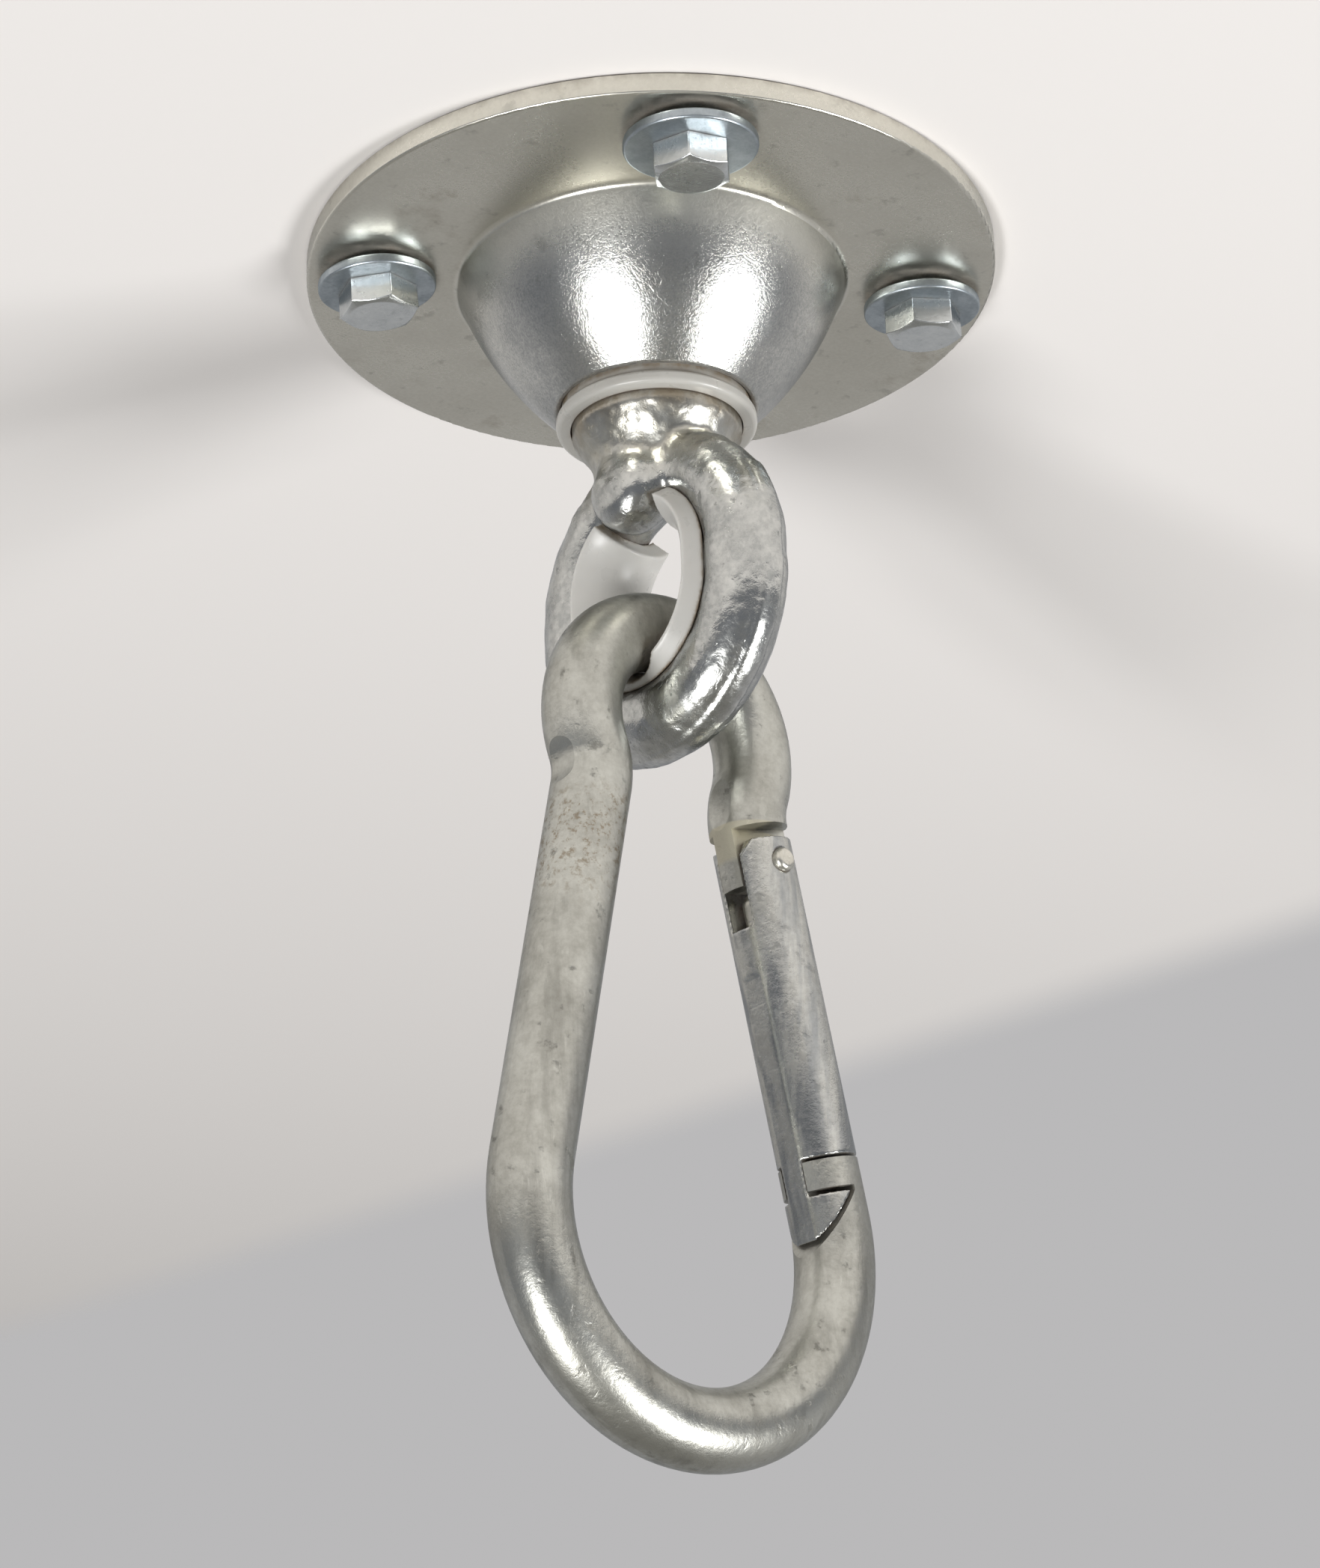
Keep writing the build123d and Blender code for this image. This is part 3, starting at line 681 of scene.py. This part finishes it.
def model_thread(sizes, point_z):
    """A tapping thread from the flange's flat face up, tapered over its last stretch to a point."""
    thread_r = 0.003
    tapered_length = 0.006
    radius_lost = 0.97
    pitch = sizes.thread_pitch
    deselect_all()
    bpy.ops.mesh.primitive_plane_add(size=MM, location=(0, 0, 0))
    shank = added("screw_shank")
    bpy.ops.object.mode_set(mode="EDIT")
    bpy.ops.mesh.select_mode(type="VERT")
    bpy.ops.mesh.select_all(action="SELECT")
    bpy.ops.mesh.merge(type="CENTER")
    bpy.ops.transform.translate(value=(sizes.thread_root, 0, 0))
    # The profile is one pitch long, so that each turn joins the next.
    crest = thread_r - sizes.thread_root
    for reach, rise in ((0, 0.44), (crest, 0.22), (0, 0.08), (-crest, 0.26)):
        bpy.ops.mesh.extrude_region_move(TRANSFORM_OT_translate={"value": (reach, 0, rise * pitch)})
    bpy.ops.object.mode_set(mode="OBJECT")
    with_modifier(
        shank, "SCREW", axis="Z", angle=2 * pi, screw_offset=pitch, iterations=sizes.thread_turns,
        steps=36, render_steps=36, use_merge_vertices=True, merge_threshold=1e-6, use_normal_calculate=True,
    )
    top = max(vertex.co.z for vertex in shank.data.vertices)
    taper_z = point_z - tapered_length
    for vertex in shank.data.vertices:
        vertex.co.z = vertex.co.z * point_z / top
        along = min(max((vertex.co.z - taper_z) / (point_z - taper_z), 0.0), 1.0)
        shrink = 1.0 - radius_lost * along
        vertex.co.x *= shrink
        vertex.co.y *= shrink
    take(shank)
    bpy.ops.object.mode_set(mode="EDIT")
    bpy.ops.mesh.select_all(action="SELECT")
    bpy.ops.mesh.fill_holes(sides=0)
    bpy.ops.mesh.normals_make_consistent(inside=False)
    bpy.ops.object.mode_set(mode="OBJECT")
    return shank


def model_neck(sizes, head_top):
    """The plain neck, from inside the head into the thread's first turn."""
    neck_r = 0.0027
    sunk = 0.0005
    neck = cylinder("screw_neck", neck_r, head_top - sunk, 0.3 * sizes.thread_pitch, sides=48)
    bevelled(neck, width=0.0004, segments=2, angle=60)
    return neck


def model_screw(sizes):
    """A tapping screw on the swivel's axis, from its hexagon head up to its point."""
    low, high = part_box("screw_front")
    head_top = low.z + sizes.head_height
    head = model_head(sizes, low.z, head_top)
    shank = model_thread(sizes, high.z)
    neck = model_neck(sizes, head_top)
    deselect_all()
    for part in (shank, neck, head):
        part.select_set(True)
    bpy.context.view_layer.objects.active = head
    bpy.ops.object.join()
    shaded_flat_faced(head, angle=32)
    return head


def model_washer(name, radius, sizes, low_z, high_z):
    """A punched washer with rounded edges, on the swivel's axis."""
    washer = cylinder(name, radius, low_z, high_z, sides=96)
    punch = cylinder("washer_punch", sizes.washer_bore, low_z - 10 * MM, low_z + 10 * MM, sides=64)
    cut_with(washer, punch)
    bevelled(washer, width=sizes.washer_edge, segments=3, angle=60)
    shaded_flat_faced(washer, angle=40)
    return washer


def screw_place(middle, way, washer_r, plate_z, lean):
    """Where a screw and its washer sit, with a crooked one tipped over its washer's far edge."""
    upright = Matrix.Translation((middle.x, middle.y, 0))
    if way is None:
        return upright
    way = Vector((way[0], way[1], 0)).normalized()
    pivot = Vector((middle.x, middle.y, plate_z)) + way * washer_r
    tip = Matrix.Rotation(lean, 4, way.cross(Vector((0, 0, 1))))
    return Matrix.Translation(pivot) @ tip @ Matrix.Translation(-pivot) @ upright


def moved_copy(piece, name, place):
    """A copy with its own mesh, moved within the mesh so that its own place stays at zero."""
    mesh = piece.data.copy()
    mesh.transform(place)
    copy = bpy.data.objects.new(name, mesh)
    mesh.name = name
    bpy.context.scene.collection.objects.link(copy)
    return copy


class SWIVEL_OT_flange(bpy.types.Operator):
    """Finish the pressed flange"""

    bl_idname = "swivel.flange"
    bl_label = "Flange"

    def execute(self, context):
        dress("ceiling_flange", flange_material())
        return {"FINISHED"}


class SWIVEL_OT_bearing(bpy.types.Operator):
    """Finish the nylon bearing ring and the parts behind the flange"""

    bl_idname = "swivel.bearing"
    bl_label = "Bearing"

    def execute(self, context):
        colours = context.scene.swivel_finish
        # The ring and the pad get a darker copy of the nylon: painted shade.
        nylon = nylon_material("Shaded ring nylon", colours.ring)
        dress("bearing_cup", nylon)
        dress("top_pad", nylon)
        cover = zinc_material(
            "Cover zinc", colours.plate_light, colours.plate_dark, sizes=(120.0, 900.0, 400.0)
        )
        dress("back_cover", cover)
        return {"FINISHED"}


class SWIVEL_OT_screws(bpy.types.Operator):
    """Model the four screws and their washers"""

    bl_idname = "swivel.screws"
    bl_label = "Screws and Washers"

    def execute(self, context):
        sizes = context.scene.swivel_sizes
        colours = context.scene.swivel_finish
        bright = zinc_material(
            "Screw zinc", colours.bolt_light, colours.bolt_dark, rough=(0.22, 0.34), mottle=0.35,
            speckle=0.25, pits=0.2, sizes=(260.0, 1500.0, 700.0), bump=0.00002, grime_and_shade=0.5, scratch=0.5,
        )
        bluish = zinc_material(
            "Washer zinc", colours.washer_light, colours.washer_dark, rough=(0.32, 0.42), mottle=0.5,
            speckle=0.3, pits=0.25, sizes=(260.0, 1500.0, 700.0), bump=0.00002, grime_and_shade=0.5, scratch=0.5,
        )
        pattern = model_screw(sizes)
        for name, (driven, lean_way) in SCREWS.items():
            middle = middle_of(f"screw_{name}")
            low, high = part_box(f"washer_{name}")
            washer_r = (high.x - low.x) / 2
            place = screw_place(middle, lean_way, washer_r, high.z, sizes.screw_lean)
            turn = Vector((middle.x, middle.y)).angle_signed(Vector((1, 0))) + driven
            screw = moved_copy(pattern, f"hex_screw_{name}", place @ Matrix.Rotation(turn, 4, "Z"))
            finish_piece(screw, "mounting", bright, [f"screw_{name}"])
            washer = model_washer(f"flat_washer_{name}", washer_r, sizes, low.z, high.z)
            washer.data.transform(place)
            finish_piece(washer, "mounting", bluish, [f"washer_{name}"])
        bpy.data.objects.remove(pattern)
        return {"FINISHED"}


class SWIVEL_OT_eye(bpy.types.Operator):
    """Model the forged eye"""

    bl_idname = "swivel.eye"
    bl_label = "Forged Eye"

    def execute(self, context):
        sizes = context.scene.swivel_sizes
        colours = context.scene.swivel_finish
        eye = remeshed_copy("swivel_eye", "forged_eye", voxel=0.00038)
        boss = Vector((-0.005, 0, -0.0375))
        boss_r, seam_r = 0.009, 0.013
        ring_upper_z, ring_lower_z = -0.0519, -0.0549
        rim_r = 0.0185
        flash_top_z = -0.040
        half_flash = sizes.flash_width / 2
        flash_step = (-0.0002, 0.0004)

        # None of these weights reaches the ball head, which runs in the cup.
        def under_ball(co):
            return ramp(-co.z, 0.0262, 0.030)

        def on_boss_seam(co):
            return ramp(-co.z, 0.0270, 0.031) * (1 - ramp((co - boss).length, boss_r, seam_r))

        def on_flash(co):
            """Weight on the outer rim of the ring, where the two dies met."""
            centre_z = min(max(co.z, ring_lower_z), ring_upper_z)
            out = Vector((0, co.y, co.z - centre_z))
            if out.length < rim_r or co.z > flash_top_z:
                return 0.0
            return 1 - ramp(abs(co.x), *(half_flash + step for step in flash_step))

        def in_sight(co):
            return ramp(-co.z, 0.0265, 0.0285)

        def on_neck(co):
            """Full on the neck, and a fifth on the ring under it."""
            on_ring = ramp(-co.z, 0.035, 0.043)
            return ramp(-co.z, 0.0262, 0.0275) * (1 - on_ring) + 0.2 * on_ring

        softened(eye, "blends", iterations=14, weight=under_ball)
        softened(eye, "boss seam", iterations=110, weight=on_boss_seam)
        weighted(eye, "flash", on_flash)
        with_modifier(eye, "DISPLACE", strength=sizes.flash_height, mid_level=0.0, vertex_group="flash")
        dented(eye, "hammer dents", grain=0.004, depth=0.00035, mid_level=0.5, weight=in_sight)
        dented(eye, "forging blows", grain=0.0030, depth=0.00045, mid_level=0.55, weight=on_neck)
        smooth_by_angle(eye, 60)
        zinc = zinc_material(
            "Forged zinc", colours.forged_light, colours.forged_dark, rough=(0.18, 0.34), mottle=0.42,
            speckle=0.42, pits=0.6, sizes=(170.0, 900.0, 520.0), bump=0.00006, grime_and_shade=0.8, scratch=0.5,
            stains=forging_stains,
        )
        finish_piece(eye, "eye", zinc, ["swivel_eye"])
        return {"FINISHED"}


class SWIVEL_OT_liner(bpy.types.Operator):
    """Model the nylon liner in the eye"""

    bl_idname = "swivel.liner"
    bl_label = "Eye Liner"

    def execute(self, context):
        liner = remeshed_copy("eye_liner", "soft_liner", voxel=0.00028)
        with_modifier(liner, "SMOOTH", factor=0.5, iterations=6)
        smooth_by_angle(liner, 60)
        nylon = nylon_material("Liner nylon", context.scene.swivel_finish.nylon)
        finish_piece(liner, "eye", nylon, ["eye_liner"])
        return {"FINISHED"}


class SWIVEL_OT_hook(bpy.types.Operator):
    """Finish the bent wire hook"""

    bl_idname = "swivel.hook"
    bl_label = "Snap Hook"

    def execute(self, context):
        colours = context.scene.swivel_finish
        zinc = zinc_material(
            "Hook zinc", colours.hook_light, colours.hook_dark, rough=(0.30, 0.44), mottle=0.45,
            speckle=0.3, pits=0.7, sizes=(110.0, 1000.0, 360.0), bump=0.00005, grime_and_shade=0.7, scratch=0.5,
            stains=hook_stains,
        )
        dress("snap_hook", zinc)
        return {"FINISHED"}


class SWIVEL_OT_gate(bpy.types.Operator):
    """Model the gate with softened edges, and finish its rivet, plunger and spring"""

    bl_idname = "swivel.gate"
    bl_label = "Gate"

    def execute(self, context):
        colours = context.scene.swivel_finish
        gate = remeshed_copy("gate", "soft_gate", voxel=0.00019)
        with_modifier(gate, "SMOOTH", factor=0.5, iterations=2)
        smooth_by_angle(gate, 60)
        zinc = zinc_material(
            "Gate zinc", colours.gate_light, colours.hook_dark, rough=(0.26, 0.36), mottle=0.2,
            speckle=0.3, pits=0.4, sizes=(150.0, 1000.0, 420.0), bump=0.00003, grime_and_shade=0.8, scratch=0.6,
            stains=gate_stains,
        )
        finish_piece(gate, "gate", zinc, ["gate"])
        steel = zinc_material(
            "Rivet steel", colours.plate_light, colours.plate_dark, rough=(0.25, 0.4),
            sizes=(400.0, 1500.0, 700.0), bump=0.00003,
        )
        for node in ("gate_rivet", "gate_plunger", "gate_spring"):
            dress(node, steel)
        return {"FINISHED"}


class SWIVEL_OT_stage(bpy.types.Operator):
    """Add the pale ceiling, the backdrop, the lamps and the camera"""

    bl_idname = "swivel.stage"
    bl_label = "Stage"

    def execute(self, context):
        studio = context.scene.swivel_studio
        self.add_ceiling(studio)
        self.add_lamps(studio)
        self.add_room(studio)
        self.add_camera(studio)
        return {"FINISHED"}

    def add_ceiling(self, studio):
        """A pale ceiling just above the flange, open behind it, clear from above and faded at one edge."""
        opening_r = 0.0488
        gap = 0.0003
        growth = 40
        edge_way = (1.0, 0.129, 0.0)
        edge_x = 0.318
        edge_fade = (0.282, 0.314)
        deselect_all()
        bpy.ops.mesh.primitive_circle_add(
            vertices=96, radius=opening_r, location=(0, 0, gap), fill_type="NOTHING"
        )
        ceiling = added("ceiling")
        place_applied(ceiling)
        bpy.ops.object.mode_set(mode="EDIT")
        bpy.ops.mesh.select_all(action="SELECT")
        bpy.ops.mesh.extrude_region_move(TRANSFORM_OT_translate={"value": (0, 0, 0)})
        bpy.ops.transform.resize(value=(growth, growth, 1), center_override=(0, 0, 0))
        bpy.ops.mesh.select_all(action="SELECT")
        bpy.ops.mesh.bisect(plane_co=(edge_x, 0, 0), plane_no=edge_way, clear_outer=True)
        bpy.ops.object.mode_set(mode="OBJECT")
        for polygon in ceiling.data.polygons:
            if polygon.normal.z > 0:
                polygon.flip()
        material, tree, shader = new_material("Pale ceiling")
        shader.inputs["Base Color"].default_value = opaque(studio.ceiling_colour)
        shader.inputs["Roughness"].default_value = 0.9
        shader.inputs["Specular IOR Level"].default_value = 0.1
        back = add(tree, "ShaderNodeNewGeometry").outputs["Backfacing"]
        past_edge = spread(tree, distance_along(tree, object_place(tree), edge_way), *edge_fade)
        unseen = math(tree, "MAXIMUM", back, past_edge)
        clear = tree.nodes.new("ShaderNodeBsdfTransparent")
        joined = add(tree, "ShaderNodeMixShader", {0: unseen, 1: shader.outputs[0], 2: clear.outputs[0]})
        tree.links.new(joined.outputs[0], tree.nodes["Material Output"].inputs["Surface"])
        ceiling.data.materials.append(material)

    def add_lamps(self, studio):
        """Two large soft lamps below the swivel, on the right and on the left of the camera."""
        aim = Vector((0, 0, -0.08))
        distance = 1.35
        for name, way, width, height, power in (
            ("right lamp", (0.378, -0.710, -0.595), 0.38, 0.46, studio.right_power),
            ("left lamp", (-0.71, -0.15, -0.72), 0.34, 0.38, studio.left_power),
        ):
            way = Vector(way).normalized() * distance
            turn = way.to_track_quat("Z", "Y").to_euler()
            deselect_all()
            bpy.ops.object.light_add(type="AREA", location=aim + way, rotation=turn)
            lamp = added(name)
            lamp.data.shape = "RECTANGLE"
            lamp.data.size = width
            lamp.data.size_y = height
            lamp.data.energy = power

    def add_room(self, studio):
        """Room light: the backdrop's colour beyond the swivel, darker behind the camera and low down."""
        beyond_way = (0.667, 0.745, 0.0)
        beyond_fade = (-0.05, 0.60)
        floor_fade = (-0.95, -0.30)
        world = bpy.data.worlds.new("room")
        bpy.context.scene.world = world
        world.use_nodes = True
        tree = world.node_tree
        tree.nodes.clear()
        way = add(tree, "ShaderNodeTexCoord").outputs["Generated"]
        height = add(tree, "ShaderNodeSeparateXYZ", {0: way}).outputs["Z"]
        above_floor = spread(tree, height, *floor_fade)
        beyond = spread(tree, distance_along(tree, way, beyond_way), *beyond_fade)
        sides = mixed(tree, beyond, opaque(studio.near_colour), opaque(studio.backdrop_colour))
        colour = mixed(tree, above_floor, opaque(studio.floor_colour), sides)
        light = add(tree, "ShaderNodeBackground", {"Color": colour, "Strength": studio.room_light})
        output = tree.nodes.new("ShaderNodeOutputWorld")
        tree.links.new(light.outputs[0], output.inputs["Surface"])

    def add_camera(self, studio):
        deselect_all()
        bpy.ops.object.camera_add(location=studio.camera_place, rotation=studio.camera_turn)
        camera = added("camera")
        camera.data.sensor_fit = "HORIZONTAL"
        camera.data.sensor_width = 36
        camera.data.lens = studio.camera_lens
        camera.data.clip_start = 0.01
        bpy.context.scene.camera = camera


OPERATORS = (
    SWIVEL_OT_stage,
    SWIVEL_OT_flange,
    SWIVEL_OT_bearing,
    SWIVEL_OT_screws,
    SWIVEL_OT_eye,
    SWIVEL_OT_liner,
    SWIVEL_OT_hook,
    SWIVEL_OT_gate,
)


class SWIVEL_PT_panel(bpy.types.Panel):
    """Lists the swivel's sizes, colours and steps"""

    bl_label = "Swivel Hook"
    bl_idname = "SWIVEL_PT_panel"
    bl_space_type = "VIEW_3D"
    bl_region_type = "UI"
    bl_category = "Swivel Hook"

    def draw(self, context):
        scene = context.scene
        for settings in (scene.swivel_sizes, scene.swivel_finish, scene.swivel_studio):
            column = self.layout.column()
            for name in settings.__annotations__:
                column.prop(settings, name)
        for operator in OPERATORS:
            self.layout.operator(operator.bl_idname)


CLASSES = (HardwareSizes, FinishColours, StudioSettings, *OPERATORS, SWIVEL_PT_panel)


def register():
    for kind in CLASSES:
        bpy.utils.register_class(kind)
    bpy.types.Scene.swivel_sizes = bpy.props.PointerProperty(type=HardwareSizes)
    bpy.types.Scene.swivel_finish = bpy.props.PointerProperty(type=FinishColours)
    bpy.types.Scene.swivel_studio = bpy.props.PointerProperty(type=StudioSettings)


def unregister():
    for name in ("swivel_sizes", "swivel_finish", "swivel_studio"):
        delattr(bpy.types.Scene, name)
    for kind in reversed(CLASSES):
        bpy.utils.unregister_class(kind)


def main():
    register()
    bpy.context.scene.view_settings.view_transform = "Standard"
    bpy.ops.swivel.stage()
    bpy.ops.swivel.flange()
    bpy.ops.swivel.bearing()
    bpy.ops.swivel.screws()
    bpy.ops.swivel.eye()
    bpy.ops.swivel.liner()
    bpy.ops.swivel.hook()
    bpy.ops.swivel.gate()


if __name__ == "__main__":
    main()
